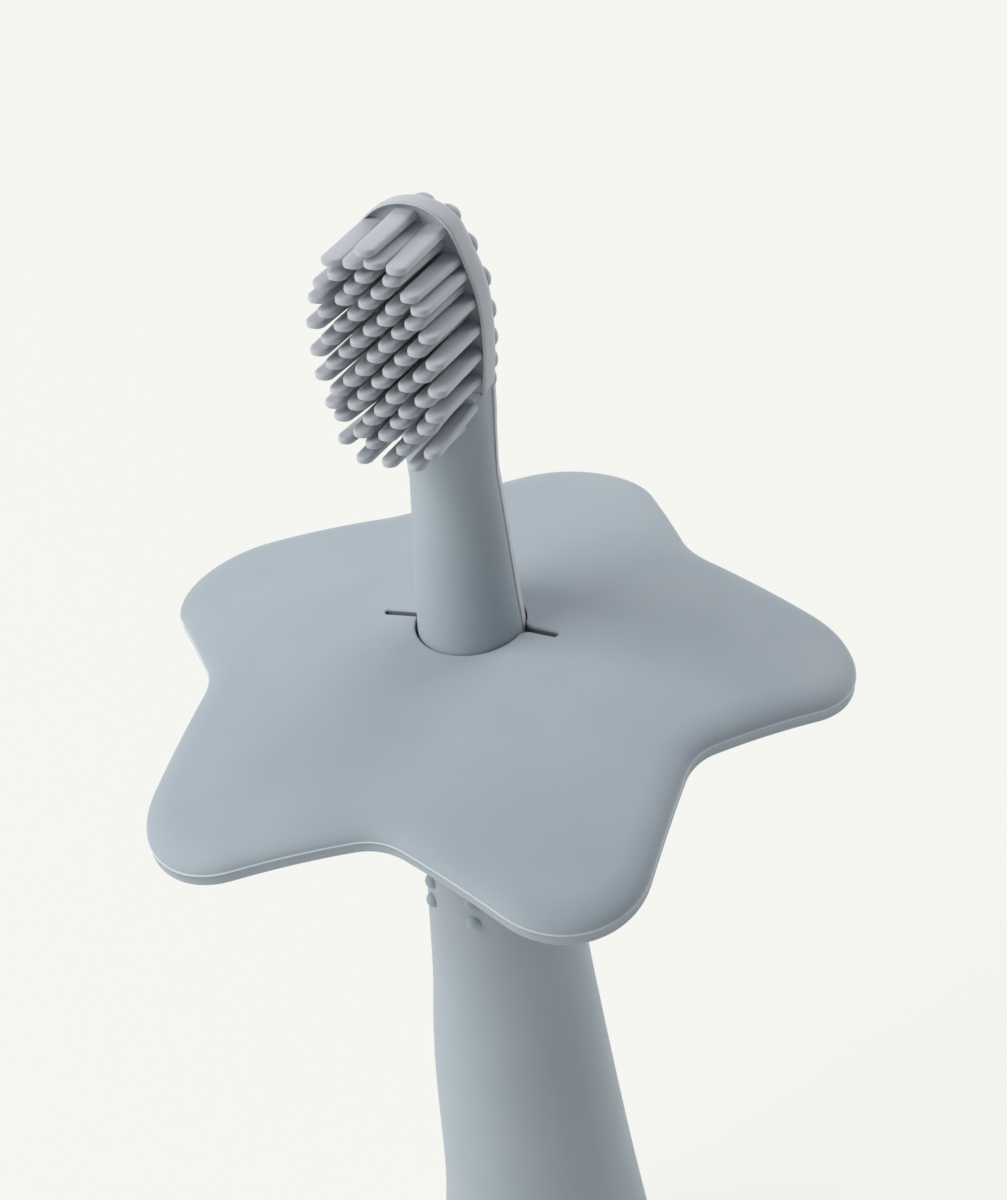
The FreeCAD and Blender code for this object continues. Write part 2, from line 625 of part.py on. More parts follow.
doc.recompute()
broken = [o.Name for o in doc.Objects if "Invalid" in o.State or "Error" in o.State]
if broken:
    raise RuntimeError(f"these objects failed: {broken}")
SUB_PARTS = {"core": core, "handle": handle, "bristle_head": bristle_head, "star_guard": guard}
for label, piece in SUB_PARTS.items():
    piece.Label = label
    if piece.Shape.isNull() or not piece.Shape.isValid() or len(piece.Shape.Solids) != 1:
        raise RuntimeError(f"{label} is not one sound solid")
os.makedirs("parts", exist_ok=True)
for label, piece in SUB_PARTS.items():
    piece.Shape.exportStep(f"parts/{label}.step")
    box = piece.Shape.BoundBox
    print(label, "volume", round(piece.Shape.Volume), "z", round(box.ZMin, 2), round(box.ZMax, 2))
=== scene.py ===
import math
import random

import bmesh
import bpy
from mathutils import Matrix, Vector


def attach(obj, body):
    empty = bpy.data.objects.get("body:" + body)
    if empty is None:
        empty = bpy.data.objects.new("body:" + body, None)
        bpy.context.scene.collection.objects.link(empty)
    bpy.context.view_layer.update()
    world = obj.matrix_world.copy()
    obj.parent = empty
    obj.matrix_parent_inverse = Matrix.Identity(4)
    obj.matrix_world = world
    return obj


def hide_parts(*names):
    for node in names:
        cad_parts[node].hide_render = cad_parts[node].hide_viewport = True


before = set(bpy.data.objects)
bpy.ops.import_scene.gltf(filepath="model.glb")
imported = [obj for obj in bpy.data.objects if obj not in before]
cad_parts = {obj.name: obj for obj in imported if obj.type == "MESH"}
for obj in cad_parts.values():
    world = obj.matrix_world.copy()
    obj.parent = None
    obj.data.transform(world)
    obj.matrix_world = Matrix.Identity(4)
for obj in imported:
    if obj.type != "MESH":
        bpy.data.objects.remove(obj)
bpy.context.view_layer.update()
scene = bpy.context.scene

# Stiff core: a stem with a flat tongue, moulded first in natural plastic. Both rubbers are moulded
# round it, so it holds the brush straight and none of it shows.


class Socket:
    """An output of a node tree. Arithmetic on it adds Math nodes to the tree."""

    def __init__(self, graph, socket):
        self.graph = graph
        self.socket = socket

    def math(self, operation, left, right=0.0):
        return self.graph.take("ShaderNodeMath", 0, {"operation": operation}, {0: left, 1: right})

    def __add__(self, other):
        return self.math("ADD", self, other)

    def __sub__(self, other):
        return self.math("SUBTRACT", self, other)

    def __rsub__(self, other):
        return self.math("SUBTRACT", other, self)

    def __mul__(self, other):
        return self.math("MULTIPLY", self, other)

    def __truediv__(self, other):
        return self.math("DIVIDE", self, other)

    def __rtruediv__(self, other):
        return self.math("DIVIDE", other, self)

    def __pow__(self, other):
        return self.math("POWER", self, other)

    def __rpow__(self, other):
        return self.math("POWER", other, self)

    def __abs__(self):
        return self.math("ABSOLUTE", self)

    __radd__ = __add__
    __rmul__ = __mul__


class Graph:
    """A node tree that is filled one node at a time."""

    def __init__(self, tree):
        self.tree = tree

    def node(self, kind, settings=None, sockets=None):
        """Add a node: first its settings, then the values or links of its sockets."""
        made = self.tree.nodes.new(kind)
        for name, setting in (settings or {}).items():
            setattr(made, name, setting)
        for key, value in (sockets or {}).items():
            if isinstance(value, Socket):
                self.tree.links.new(value.socket, made.inputs[key])
            else:
                made.inputs[key].default_value = value
        return made

    def take(self, kind, output=0, settings=None, sockets=None):
        """Add a node and give one of its outputs."""
        return Socket(self, self.node(kind, settings, sockets).outputs[output])


def linear(red, green, blue):
    """A colour given in the 0 to 255 steps of a screen, as the renderer's linear colour."""
    steps = [channel / 255 for channel in (red, green, blue)]
    return [s / 12.92 if s <= 0.04045 else ((s + 0.055) / 1.055) ** 2.4 for s in steps] + [1]


class Finish(Graph):
    """A material on one Principled shader, with its patterns on Object coordinates."""

    def __init__(self, name, **plain):
        self.material = bpy.data.materials.new(name)
        self.material.use_nodes = True
        super().__init__(self.material.node_tree)
        self.shader = self.tree.nodes["Principled BSDF"]
        for key, value in plain.items():
            self.shader.inputs[key.replace("_", " ")].default_value = value
        self.place = self.take("ShaderNodeTexCoord", "Object")

    def noise(self, cell, detail=2.0):
        """Noise from 0 to 1 whose blotches are about one cell across."""
        sockets = {"Vector": self.place, "Scale": 1 / cell, "Detail": detail}
        return self.take("ShaderNodeTexNoise", "Fac", {"normalize": True}, sockets)

    def ramp(self, value, low, high):
        """Zero below low, one above high and smooth between."""
        sockets = {"Value": value, "From Min": low, "From Max": high}
        settings = {"interpolation_type": "SMOOTHSTEP"}
        return self.take("ShaderNodeMapRange", "Result", settings, sockets)

    def mix(self, share, first, second):
        """A colour that goes from the first to the second. The numbers are the colour sockets."""
        sockets = {0: share, 6: first, 7: second}
        return self.take("ShaderNodeMix", 2, {"data_type": "RGBA"}, sockets)

    def wire(self, **sockets):
        """Link values to the shader's sockets."""
        for key, value in sockets.items():
            self.tree.links.new(value.socket, self.shader.inputs[key.replace("_", " ")])

    def bump(self, height, depth):
        """Feed the shader's normal with a relief of that depth in metres."""
        sockets = {"Height": height, "Distance": depth, "Strength": 1.0}
        self.wire(Normal=self.take("ShaderNodeBump", "Normal", None, sockets))


def paint(piece, finish):
    """Give a piece one material and no other."""
    piece.data.materials.clear()
    piece.data.materials.append(finish.material)


MM = 0.001
NATURAL, NATURAL_PALE = linear(214, 210, 198), linear(226, 223, 213)
natural = Finish("natural_plastic", IOR=1.49)
flow = natural.noise(4 * MM, 3.0)
natural.wire(Base_Color=natural.mix(flow, NATURAL, NATURAL_PALE), Roughness=flow * 0.15 + 0.35)
natural.bump(natural.noise(0.3 * MM), 0.01 * MM)
paint(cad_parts["core"], natural)

# Handle: blue-grey rubber moulded over the core, a hollow cone on a rounded foot with a shoulder
# for the guard. Above the shoulder it goes on as the front of the neck, up into the head.
BLUE_GREY, BLUE_GREY_PALE = linear(158, 168, 175), linear(171, 180, 185)
BLUE_GREY_SHEEN = 0.12
BLOTCH, GRAIN, DUST, RIPPLE, RELIEF = 9 * MM, 0.12 * MM, 0.35 * MM, 0.6 * MM, 0.012 * MM


def rubber(name, colour, pale, sheen, flash_and_highlight=None, painted_shade=None):
    """Matt moulded rubber: fine grain, faint blotches and a few specks of dust. Where the mesh is
    marked, the colour is paler along a flash line and along a painted highlight, and darker with
    painted shade in a crease."""
    finish = Finish(name, IOR=1.41, Sheen_Weight=sheen, Sheen_Roughness=0.5)
    blotch = finish.noise(BLOTCH, 3.0)
    grain = finish.noise(GRAIN)
    dust = finish.ramp(finish.noise(DUST, 1.0), 0.80, 0.86)
    cloud = finish.ramp(blotch, 0.3, 0.7)
    tint = cloud * 0.25 + finish.ramp(grain, 0.35, 0.65) * 0.12 + dust * 0.3
    shade = finish.mix(tint, colour, pale)
    # marked points are paler for a flash line and for a painted highlight, and darker for painted
    # shade
    for mark, marked in (("flash_and_highlight", flash_and_highlight), ("painted_shade", painted_shade)):
        if marked:
            share = finish.take("ShaderNodeAttribute", "Fac", {"attribute_name": mark})
            shade = finish.mix(share, shade, marked)
    finish.wire(Base_Color=shade, Roughness=0.62 - cloud * 0.06 + grain * 0.06)
    finish.bump(grain + finish.noise(RIPPLE) * 0.6, RELIEF)
    return finish


handle_rubber = rubber("blue_grey_rubber", BLUE_GREY, BLUE_GREY_PALE, BLUE_GREY_SHEEN)

# sizes are in millimetres, and heights are measured from the foot
FOOT_RADIUS, FOOT_ROUND, FOOT_RINGS = 12.05, 4.0, (0.0, 3.0, 6.5)
WAIST_HEIGHT, WAIST_RADIUS = 49.7, 8.12
SHOULDER_HEIGHT, SHOULDER_RADIUS, SHOULDER_ROUND = 89.55, 6.2, 0.4
HANDLE_BOW, HANDLE_WAVE, WAVE_LENGTH, WAVE_START = 0.35, 0.16, 42.0, 26.0
WAVE_RISE, WAVE_FADE = (8.0, 20.0), (40.0, 54.0)
NECK_SEAT_RADIUS, NECK_RADIUS, NECK_TAPER_START, NECK_HEIGHT = 5.22, 4.22, 92.3, 110.0
NECK_ASIDE, NECK_SETBACK, SETBACK_START = 0.08, 0.55, 95.0
SQUARENESS, SQUARE_START, SQUARE_END = 0.3, 113.0, 119.0
SHAFT_LEVELS, NECK_LEVELS, HANDLE_SIDES = 60, 24, 128
# a level is a height with the half width, half depth and setback of the section there
NECK_TOP = [(112.5, 4.32, 4.28, 0.55), (115.0, 4.43, 4.15, 0.55), (117.0, 4.52, 3.93, 0.50),
            (118.6, 4.60, 3.72, 0.45), (119.8, 4.72, 3.52, 0.42), (120.9, 4.84, 3.32, 0.40),
            (121.9, 4.90, 3.07, 0.40), (122.7, 4.87, 2.87, 0.40), (123.2, 4.40, 2.45, 0.40),
            (123.4, 0.0, 0.0, 0.40)]


def smooth(value, low, high):
    """Zero below low, one above high and smooth between."""
    share = min(max((value - low) / (high - low), 0.0), 1.0)
    return share * share * (3 - 2 * share)


def quarter(steps):
    """The angles of a quarter turn in equal steps, from zero."""
    return [math.pi / 2 * step / steps for step in range(steps + 1)]


def wave(height):
    """A faint swelling of the soft handle on one side, below the grip."""
    window = smooth(height, *WAVE_RISE) * (1 - smooth(height, *WAVE_FADE))
    return HANDLE_WAVE * window * math.sin(2 * math.pi * (height - WAVE_START) / WAVE_LENGTH)


def flank(height):
    """Radius of the handle: a parabola through the foot, waist and shoulder, and the wave."""
    lower = (WAIST_RADIUS - FOOT_RADIUS) / WAIST_HEIGHT
    upper = (SHOULDER_RADIUS - WAIST_RADIUS) / (SHOULDER_HEIGHT - WAIST_HEIGHT)
    hollow = (upper - lower) / SHOULDER_HEIGHT
    return FOOT_RADIUS + height * (lower + hollow * (height - WAIST_HEIGHT)) + wave(height)


def bow(height):
    """How far the soft handle bows to one side at a height, and the neck's foot to the other."""
    if height > SHOULDER_HEIGHT:
        return NECK_ASIDE * (1 - smooth(height, NECK_TAPER_START, NECK_HEIGHT))
    return -HANDLE_BOW * math.sin(math.pi * height / SHOULDER_HEIGHT) - wave(height)


def neck_bend(height):
    """One where a section is round, and less near the head, where it is squarer."""
    return 1 - SQUARENESS * smooth(height, SQUARE_START, SQUARE_END)


def round_level(height, radius, setback=0.0):
    """A level with a round section."""
    return height, radius, radius, setback


def neck_levels(foot, proud=0.0):
    """Levels of the neck's round stretch, from its foot up."""
    rows = []
    for step in range(NECK_LEVELS + 1):
        height = foot + (NECK_HEIGHT - foot) * step / NECK_LEVELS
        share = max(height - NECK_TAPER_START, 0.0) / (NECK_HEIGHT - NECK_TAPER_START)
        radius = NECK_SEAT_RADIUS + (NECK_RADIUS - NECK_SEAT_RADIUS) * share + proud
        setback = NECK_SETBACK * smooth(height, SETBACK_START, NECK_HEIGHT)
        rows.append(round_level(height, radius, setback))
    return rows


levels = [round_level(0.0, radius) for radius in FOOT_RINGS]
for turn in quarter(12):
    height = FOOT_ROUND * (1 - math.cos(turn))
    levels.append(round_level(height, flank(height) - FOOT_ROUND * (1 - math.sin(turn))))
shaft_top = SHOULDER_HEIGHT - SHOULDER_ROUND
for step in range(1, SHAFT_LEVELS + 1):
    height = FOOT_ROUND + (shaft_top - FOOT_ROUND) * step / SHAFT_LEVELS
    levels.append(round_level(height, flank(height)))
for turn in quarter(4)[1:]:
    levels.append(round_level(shaft_top + SHOULDER_ROUND * math.sin(turn),
                              SHOULDER_RADIUS - SHOULDER_ROUND * (1 - math.cos(turn))))
levels += neck_levels(SHOULDER_HEIGHT) + NECK_TOP


def level_line(name, rows, sideways, bend):
    """A line of points, one a level: half width along X and height, with the rest kept beside."""
    mesh = bpy.data.meshes.new(name)
    points = [(width * MM, 0, height * MM) for height, width, depth, setback in rows]
    mesh.from_pydata(points, [(n, n + 1) for n in range(len(points) - 1)], [])
    kept = {"half_depth": [depth * MM for height, width, depth, setback in rows],
            "setback": [setback * MM for height, width, depth, setback in rows],
            "sideways": [sideways(row[0]) * MM for row in rows],
            "bend": [bend(row[0]) for row in rows]}
    for key, numbers in kept.items():
        mesh.attributes.new(key, "FLOAT", "POINT").data.foreach_set("value", numbers)
    return mesh


def new_tree(name, inputs):
    """The graph of a new geometry node tree, and its named inputs."""
    tree = bpy.data.node_groups.new(name, "GeometryNodeTree")
    tree.interface.new_socket("Geometry", in_out="INPUT", socket_type="NodeSocketGeometry")
    for label, kind in inputs.items():
        tree.interface.new_socket(label, in_out="INPUT", socket_type=kind)
    tree.interface.new_socket("Geometry", in_out="OUTPUT", socket_type="NodeSocketGeometry")
    graph = Graph(tree)
    entry = graph.node("NodeGroupInput")
    given = {socket.name: Socket(graph, socket) for socket in entry.outputs if socket.name}
    return graph, given


def end_tree(graph, geometry, finish_input):
    """Realize what the tree made, shade it smooth, give it its material and put it out."""
    real = graph.take("GeometryNodeRealizeInstances", 0, None, {0: geometry})
    shaded = graph.take("GeometryNodeSetShadeSmooth", 0, None, {0: real, "Shade Smooth": True})
    done = graph.take("GeometryNodeSetMaterial", 0, None, {0: shaded, "Material": finish_input})
    graph.node("NodeGroupOutput", None, {0: done})


def grow(name, tree, mesh, inputs):
    """Run a tree over a mesh and keep what it makes as a plain mesh."""
    start = bpy.data.objects.new(name + "_start", mesh)
    scene.collection.objects.link(start)
    modifier = start.modifiers.new("grow", "NODES")
    modifier.node_group = tree
    for item in tree.interface.items_tree:
        if item.item_type == "SOCKET" and item.in_out == "INPUT" and item.name in inputs:
            modifier[item.identifier] = inputs[item.name]
    grown = start.evaluated_get(bpy.context.evaluated_depsgraph_get())
    made = bpy.data.meshes.new_from_object(grown)
    bpy.data.objects.remove(start)
    made.name = name
    piece = bpy.data.objects.new(name, made)
    scene.collection.objects.link(piece)
    return piece


def attribute(graph, name, kind="FLOAT"):
    """What the mesh keeps under a name."""
    return graph.take("GeometryNodeInputNamedAttribute", 0, {"data_type": kind}, {"Name": name})


def sample(graph, geometry, value, index, kind="FLOAT"):
    """A value of a geometry at one of its points."""
    sockets = {"Geometry": geometry, "Value": value, "Index": index}
    return graph.take("GeometryNodeSampleIndex", 0, {"data_type": kind}, sockets)


def turning_tree():
    """Sweep a line of levels round its axis, as ovals or, with a smaller bend, as squarer forms."""
    graph, given = new_tree("turned_levels", {
        "Levels": "NodeSocketInt", "Sides": "NodeSocketInt", "First Angle": "NodeSocketFloat",
        "Last Angle": "NodeSocketFloat", "Finish": "NodeSocketMaterial"})
    line, sides, count = given["Geometry"], given["Sides"], given["Levels"]
    net = graph.take("GeometryNodeMeshGrid", 0, None, {
        "Vertices X": sides + 1, "Vertices Y": count})
    index = graph.take("GeometryNodeInputIndex")
    level = index.math("MODULO", index, count)
    column = index.math("FLOOR", index / count)
    sweep = given["Last Angle"] - given["First Angle"]
    angle = given["First Angle"] + sweep * column / sides
    position = graph.take("GeometryNodeInputPosition")
    place = sample(graph, line, position, level, "FLOAT_VECTOR")
    parts = graph.node("ShaderNodeSeparateXYZ", None, {0: place})
    width, height = [Socket(graph, parts.outputs[key]) for key in ("X", "Z")]
    depth, setback, sideways, bend = [sample(graph, line, attribute(graph, key), level)
                                      for key in ("half_depth", "setback", "sideways", "bend")]

    def flattened(swing):
        return abs(swing) ** bend * swing.math("SIGN", swing)

    across = sideways + width * flattened(angle.math("COSINE", angle))
    along = setback + depth * flattened(angle.math("SINE", angle))
    point = graph.take("ShaderNodeCombineXYZ", 0, None, {0: across, 1: along, 2: height})
    swept = graph.take("GeometryNodeSetPosition", 0, None, {"Geometry": net, "Position": point})
    closed = graph.take("GeometryNodeMergeByDistance", 0, None, {0: swept, "Distance": 0.002 * MM})
    end_tree(graph, closed, given["Finish"])
    return graph.tree


turned_levels = turning_tree()


def turn_piece(name, rows, sides, finish, first=0.0, last=2 * math.pi,
               sideways=lambda height: 0.0, bend=lambda height: 1.0):
    """A piece swept through levels from one angle to another."""
    return grow(name, turned_levels, level_line(name + "_levels", rows, sideways, bend), {
        "Levels": len(rows), "Sides": sides, "First Angle": first, "Last Angle": last,
        "Finish": finish.material})


def outward(piece, close=False):
    """Merge doubles and point a closed piece's faces outwards. An open piece is closed first."""
    work = bmesh.new()
    work.from_mesh(piece.data)
    if close:
        bmesh.ops.holes_fill(work, edges=[e for e in work.edges if e.is_boundary], sides=0)
    bmesh.ops.remove_doubles(work, verts=work.verts, dist=0.001 * MM)
    bmesh.ops.dissolve_degenerate(work, dist=0.0005 * MM, edges=work.edges)
    bmesh.ops.recalc_face_normals(work, faces=work.faces)
    work.to_mesh(piece.data)
    work.free()
    piece.data.shade_smooth()


handle = turn_piece("brush_handle", levels, HANDLE_SIDES, handle_rubber, sideways=bow,
                    bend=neck_bend)
outward(handle)
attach(handle, "brush")
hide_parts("handle")

# Grip bumps: small round studs of the same rubber, moulded on the handle in rings of eight under
# the guard, where the fingers hold it.
BUMP_RADIUS, BUMP_RISE, BUMP_FULLNESS = 0.78, 0.68, 1.0
BUMP_RINGS, BUMP_COLUMNS, BUMP_PITCH, BUMP_TOP = 5, 8, 2.45, 69.5
BUMP_TURN = math.radians(3)
STUD_SINK, STUD_SIDES, STUD_STEPS = 0.3, 20, 8
UNSTRETCHED = (1, 1, 1)


def planting_tree():
    """Set a copy of a piece at each point, with the point's own turn and stretch."""
    graph, given = new_tree("planted_pieces", {
        "Piece": "NodeSocketObject", "Finish": "NodeSocketMaterial"})
    piece = graph.take("GeometryNodeObjectInfo", "Geometry", None, {"Object": given["Piece"]})
    turn, stretch = [attribute(graph, key, "FLOAT_VECTOR") for key in ("turn", "stretch")]
    turn = graph.take("FunctionNodeEulerToRotation", 0, None, {0: turn})
    planted = graph.take("GeometryNodeInstanceOnPoints", 0, None, {
        "Points": given["Geometry"], "Instance": piece, "Rotation": turn, "Scale": stretch})
    end_tree(graph, planted, given["Finish"])
    return graph.tree


planted_pieces = planting_tree()


def plant(name, pattern, places, finish):
    """Copies of a pattern piece as one piece. A place is a point, a turn and a stretch."""
    mesh = bpy.data.meshes.new(name + "_points")
    mesh.from_pydata([[c * MM for c in point] for point, turn, stretch in places], [], [])
    for key, column in (("turn", 1), ("stretch", 2)):
        layer = mesh.attributes.new(key, "FLOAT_VECTOR", "POINT")
        layer.data.foreach_set("vector", [c for place in places for c in place[column]])
    piece = grow(name, planted_pieces, mesh, {"Piece": pattern, "Finish": finish.material})
    bpy.data.objects.remove(pattern)
    return piece


def stud(name, radius, rise, fullness, finish):
    """A stud on its own axis: a fullness of 1 is a round dome, and less draws it to a point."""
    rows = [round_level(-STUD_SINK, 0.0), round_level(-STUD_SINK, radius)]
    for turn in quarter(STUD_STEPS):
        size = radius * math.cos(turn) * (fullness + (1 - fullness) * math.cos(turn))
        rows.append(round_level(rise * math.sin(turn), max(size, 0.0)))
    piece = turn_piece(name, rows, STUD_SIDES, finish)
    outward(piece)
    return piece


def facing(out):
    """The turn that points a stud along a direction."""
    return Vector(out).to_track_quat("Z", "Y").to_euler()


bumps = []
for ring in range(BUMP_RINGS):
    height = BUMP_TOP - BUMP_PITCH * ring
    for column in range(BUMP_COLUMNS):
        angle = 2 * math.pi * column / BUMP_COLUMNS + BUMP_TURN
        out = (math.cos(angle), math.sin(angle), 0)
        point = (bow(height) + flank(height) * out[0], flank(height) * out[1], height)
        bumps.append((point, facing(out), UNSTRETCHED))
bump = stud("bump", BUMP_RADIUS, BUMP_RISE, BUMP_FULLNESS, handle_rubber)
grip_bumps = plant("grip_bumps", bump, bumps, handle_rubber)
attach(grip_bumps, "brush")
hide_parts("handle")

# Neck strip: the back of the neck, in the head's paler rubber. It is moulded with the head, runs
# down to the shoulder and stands a hair proud of the handle rubber along its two edges.
PALE_GREY, PALE_GREY_LIGHT = linear(174, 178, 183), linear(189, 192, 196)
# the palest colour here is a painted highlight along the crest of the head's rim
PALE_GREY_PAINTED_HIGHLIGHT, PALE_GREY_SHEEN = linear(212, 215, 218), 0.4
head_rubber = rubber("pale_grey_rubber", PALE_GREY, PALE_GREY_LIGHT, PALE_GREY_SHEEN,
                     flash_and_highlight=PALE_GREY_PAINTED_HIGHLIGHT)
STRIP_PROUD, STRIP_FOOT, STRIP_SIDES = 0.06, SHOULDER_HEIGHT + 0.05, 64
STRIP_EDGE = math.radians(8)
STRIP_TOP = [(112.5, 4.42, 4.42, 0.55), (115.0, 4.54, 4.32, 0.55), (117.0, 4.64, 4.10, 0.50),
             (118.6, 4.72, 3.87, 0.45), (119.8, 4.83, 3.67, 0.42), (120.9, 4.95, 3.48, 0.40),
             (121.9, 5.01, 3.24, 0.40), (122.7, 4.98, 3.05, 0.40), (123.6, 4.80, 2.68, 0.50),
             (125.2, 4.15, 1.92, 0.70), (127.0, 3.20, 1.10, 0.95), (128.4, 2.20, 0.40, 1.00),
             (128.4, 0.0, 0.0, 1.00)]
strip_levels = [round_level(STRIP_FOOT, 0.0)] + neck_levels(STRIP_FOOT, STRIP_PROUD) + STRIP_TOP
neck_strip = turn_piece("neck_strip", strip_levels, STRIP_SIDES, head_rubber, STRIP_EDGE,
                        math.pi - STRIP_EDGE, sideways=bow, bend=neck_bend)
outward(neck_strip, close=True)
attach(neck_strip, "brush")
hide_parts("bristle_head")

# Head: an egg-shaped cup of the paler rubber moulded round the core's tongue, with a thin raised
# rim round the floor that the tines stand on, a rounded back and a blunt lower end on the neck.
HEAD_TOP, HEAD_LOW, HEAD_WIDE, HEAD_HALF, HEAD_MIDDLE = 141.7, 116.5, 130.0, 6.95, 129.0
HEAD_SHOULDER, HEAD_FLANK = 18.5, 45.0
HEAD_FRONT, HEAD_BACK, BACK_ROUND, BACK_RISE = -3.2, 1.2, 3.6, 2.7
RIM_INSET, RIM_WIDTH, RIM_HEIGHT, RIM_ROUND = 0.06, 0.3, 0.6, 0.16
BULGE_DEPTH, BULGE_STEPS, BACK_STEPS, ARC_POINTS = 1.3, 6, 14, 14
SLEEVE_END, SLEEVE_SLANT = 122.2, 0.2
FILL_START, FILL_END, FILL_DEPTH = 124.6, 122.4, 0.08
DRAW_IN, DRAW_END, SINK_START, SINK_SLOPE = 0.2, 120.4, 121.6, 0.9
TOP_START, TOP_SLOPE = 132.0, 0.22
LEAN_START, LEAN_ASIDE = 135.5, 0.7


def egg(margin):
    """The head's outline moved inwards by a margin: points x, z anticlockwise from the low end."""
    half, top, low = HEAD_HALF - margin, HEAD_TOP - margin, HEAD_LOW + margin
    shoulder, side = HEAD_SHOULDER - margin, HEAD_FLANK - margin
    rise, drop = top - HEAD_WIDE, HEAD_WIDE - low
    top_radius = (2 * shoulder * half - half ** 2 - rise ** 2) / (2 * (shoulder - rise))
    low_radius = (2 * side * half - half ** 2 - drop ** 2) / (2 * (side - drop))
    bend_up = math.asin((rise - top_radius) / (shoulder - top_radius))
    bend_down = -math.asin((drop - low_radius) / (side - low_radius))
    arcs = [(0, low + low_radius, low_radius, -math.pi / 2, bend_down),
            (half - side, HEAD_WIDE, side, bend_down, 0),
            (half - shoulder, HEAD_WIDE, shoulder, 0, bend_up),
            (0, top - top_radius, top_radius, bend_up, math.pi / 2)]
    right = []
    for x, z, radius, first, last in arcs:
        for step in range(ARC_POINTS):
            turn = first + (last - first) * step / ARC_POINTS
            right.append((x + radius * math.cos(turn), z + radius * math.sin(turn)))
    return right + [(0, top)] + [(-x, z) for x, z in reversed(right[1:])]


def slope_back(y, z):
    """How far the head's back drops at the top, where it slopes away from the rim."""
    return TOP_SLOPE * (y - HEAD_FRONT) * smooth(z, TOP_START, HEAD_TOP)


def lean_aside(z):
    """How far the head's top leans to its right."""
    return LEAN_ASIDE * smooth(z, LEAN_START, HEAD_TOP)


def floor_point(x, y, z):
    """A point of the floor or the rim. At the low end the floor rises to the rim, and both draw in
    and sink into the neck."""
    filled = HEAD_FRONT + FILL_DEPTH
    level = filled + (y - filled) * smooth(z, FILL_END, FILL_START)
    draw_in = 1 - DRAW_IN * (1 - smooth(z, DRAW_END, FILL_END))
    return x * draw_in + lean_aside(z), level + SINK_SLOPE * max(SINK_START - z, 0.0), z


def cup_ring(margin, y, share=1.0, sleeve=False):
    """One ring of the cup. A share draws it in towards the middle; a sleeve ends on the neck."""
    ring = [(x * share, HEAD_MIDDLE + (z - HEAD_MIDDLE) * share) for x, z in egg(margin)]
    if not sleeve:
        return [floor_point(x, y, z) for x, z in ring]
    lowest = SLEEVE_END + SLEEVE_SLANT * min(margin, 1.0)
    return [(x + lean_aside(z), y, max(z, lowest) - slope_back(y, z)) for x, z in ring]


floor_y = HEAD_FRONT + RIM_HEIGHT
inner = RIM_INSET + RIM_WIDTH
back_start = HEAD_BACK - BACK_RISE
# the rim's section from the floor up and over its crest: a margin and a depth for each ring
rim_section = [(inner + 0.03, floor_y - 0.06), (inner, floor_y - 0.15),
               (inner - 0.02, HEAD_FRONT + RIM_ROUND), (inner - 0.08, HEAD_FRONT + 0.05),
               (inner - 0.16, HEAD_FRONT), (RIM_INSET + 0.12, HEAD_FRONT)]
rings = [cup_ring(inner + 0.12, floor_y, share) for share in (0.0, 0.3, 0.6, 0.85, 1.0)]
rings += [cup_ring(margin, y) for margin, y in rim_section]
# the two crest rings get a painted highlight
crest = (len(rings) - 2, len(rings) - 1)
rings.append(cup_ring(RIM_INSET + 0.04, HEAD_FRONT + 0.05, sleeve=True))
for turn in quarter(BULGE_STEPS)[:-1]:
    depth = HEAD_FRONT + RIM_ROUND + BULGE_DEPTH * (1 - math.cos(turn))
    rings.append(cup_ring(RIM_INSET * (1 - math.sin(turn)), depth, sleeve=True))
for turn in quarter(BACK_STEPS):
    depth = back_start + BACK_RISE * math.sin(turn)
    rings.append(cup_ring(BACK_ROUND * (1 - math.cos(turn)), depth, sleeve=True))
for share in (0.8, 0.5, 0.25, 0.0):
    rings.append(cup_ring(BACK_ROUND, HEAD_BACK, share, sleeve=share > 0.3))


def lay_rings(name, rings, crest):
    """A mesh through closed rings of points, in millimetres, each ring joined to the next. The
    crest rings are marked for a painted highlight along the rim."""
    count = len(rings[0])
    faces = []
    for low in range(len(rings) - 1):
        for n in range(count):
            after = (n + 1) % count
            faces.append((low * count + n, low * count + after,
                          (low + 1) * count + after, (low + 1) * count + n))
    mesh = bpy.data.meshes.new(name)
    mesh.from_pydata([[c * MM for c in point] for ring in rings for point in ring], [], faces)
    marks = [float(n in crest) for n, ring in enumerate(rings) for point in ring]
    mesh.attributes.new("flash_and_highlight", "FLOAT", "POINT").data.foreach_set("value", marks)
    piece = bpy.data.objects.new(name, mesh)
    scene.collection.objects.link(piece)
    outward(piece)
    return piece


head_cup = lay_rings("head_cup", rings, crest)
paint(head_cup, head_rubber)
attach(head_cup, "brush")
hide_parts("bristle_head")

# Back nubs: round studs on the head's back, for the gums, in one row round the rounded edge and
# staggered rows on the flat, moulded with the head.
NUB_RADIUS, NUB_RISE, NUB_FULLNESS, NUB_PITCH = 1.0, 0.6, 0.75, 3.05
# how far each nub of the edge row stands from the middle of the head's top, along the edge
NUB_WALKS = [0.0, 3.0, 6.85, 10.75, 14.1, 17.05, 19.6, 21.8]
# a flat row is its height and the number of its nubs
FLAT_ROWS = [(128.9, 2), (131.9, 1), (134.9, 2), (137.0, 1)]
nubs = []
edge_inset = BACK_ROUND * (1 - math.cos(math.pi / 4))
edge_y = back_start + BACK_RISE * math.sin(math.pi / 4)
half_path = [(x, z) for x, z in egg(edge_inset) if x >= 0][::-1]
walked = 0.0
for here, after in zip(half_path, half_path[1:]):
    run = math.dist(here, after)
    for walk in NUB_WALKS:
        if walked <= walk < walked + run:
            x, z = [a + (b - a) * (walk - walked) / run for a, b in zip(here, after)]
            normal = Vector((here[1] - after[1], after[0] - here[0])).normalized()
            for side in ((1, -1) if walk else (1,)):
                point = (side * x + lean_aside(z), edge_y, z - slope_back(edge_y, z))
                nubs.append((point, facing((side * normal.x, 1, normal.y)), UNSTRETCHED))
    walked += run
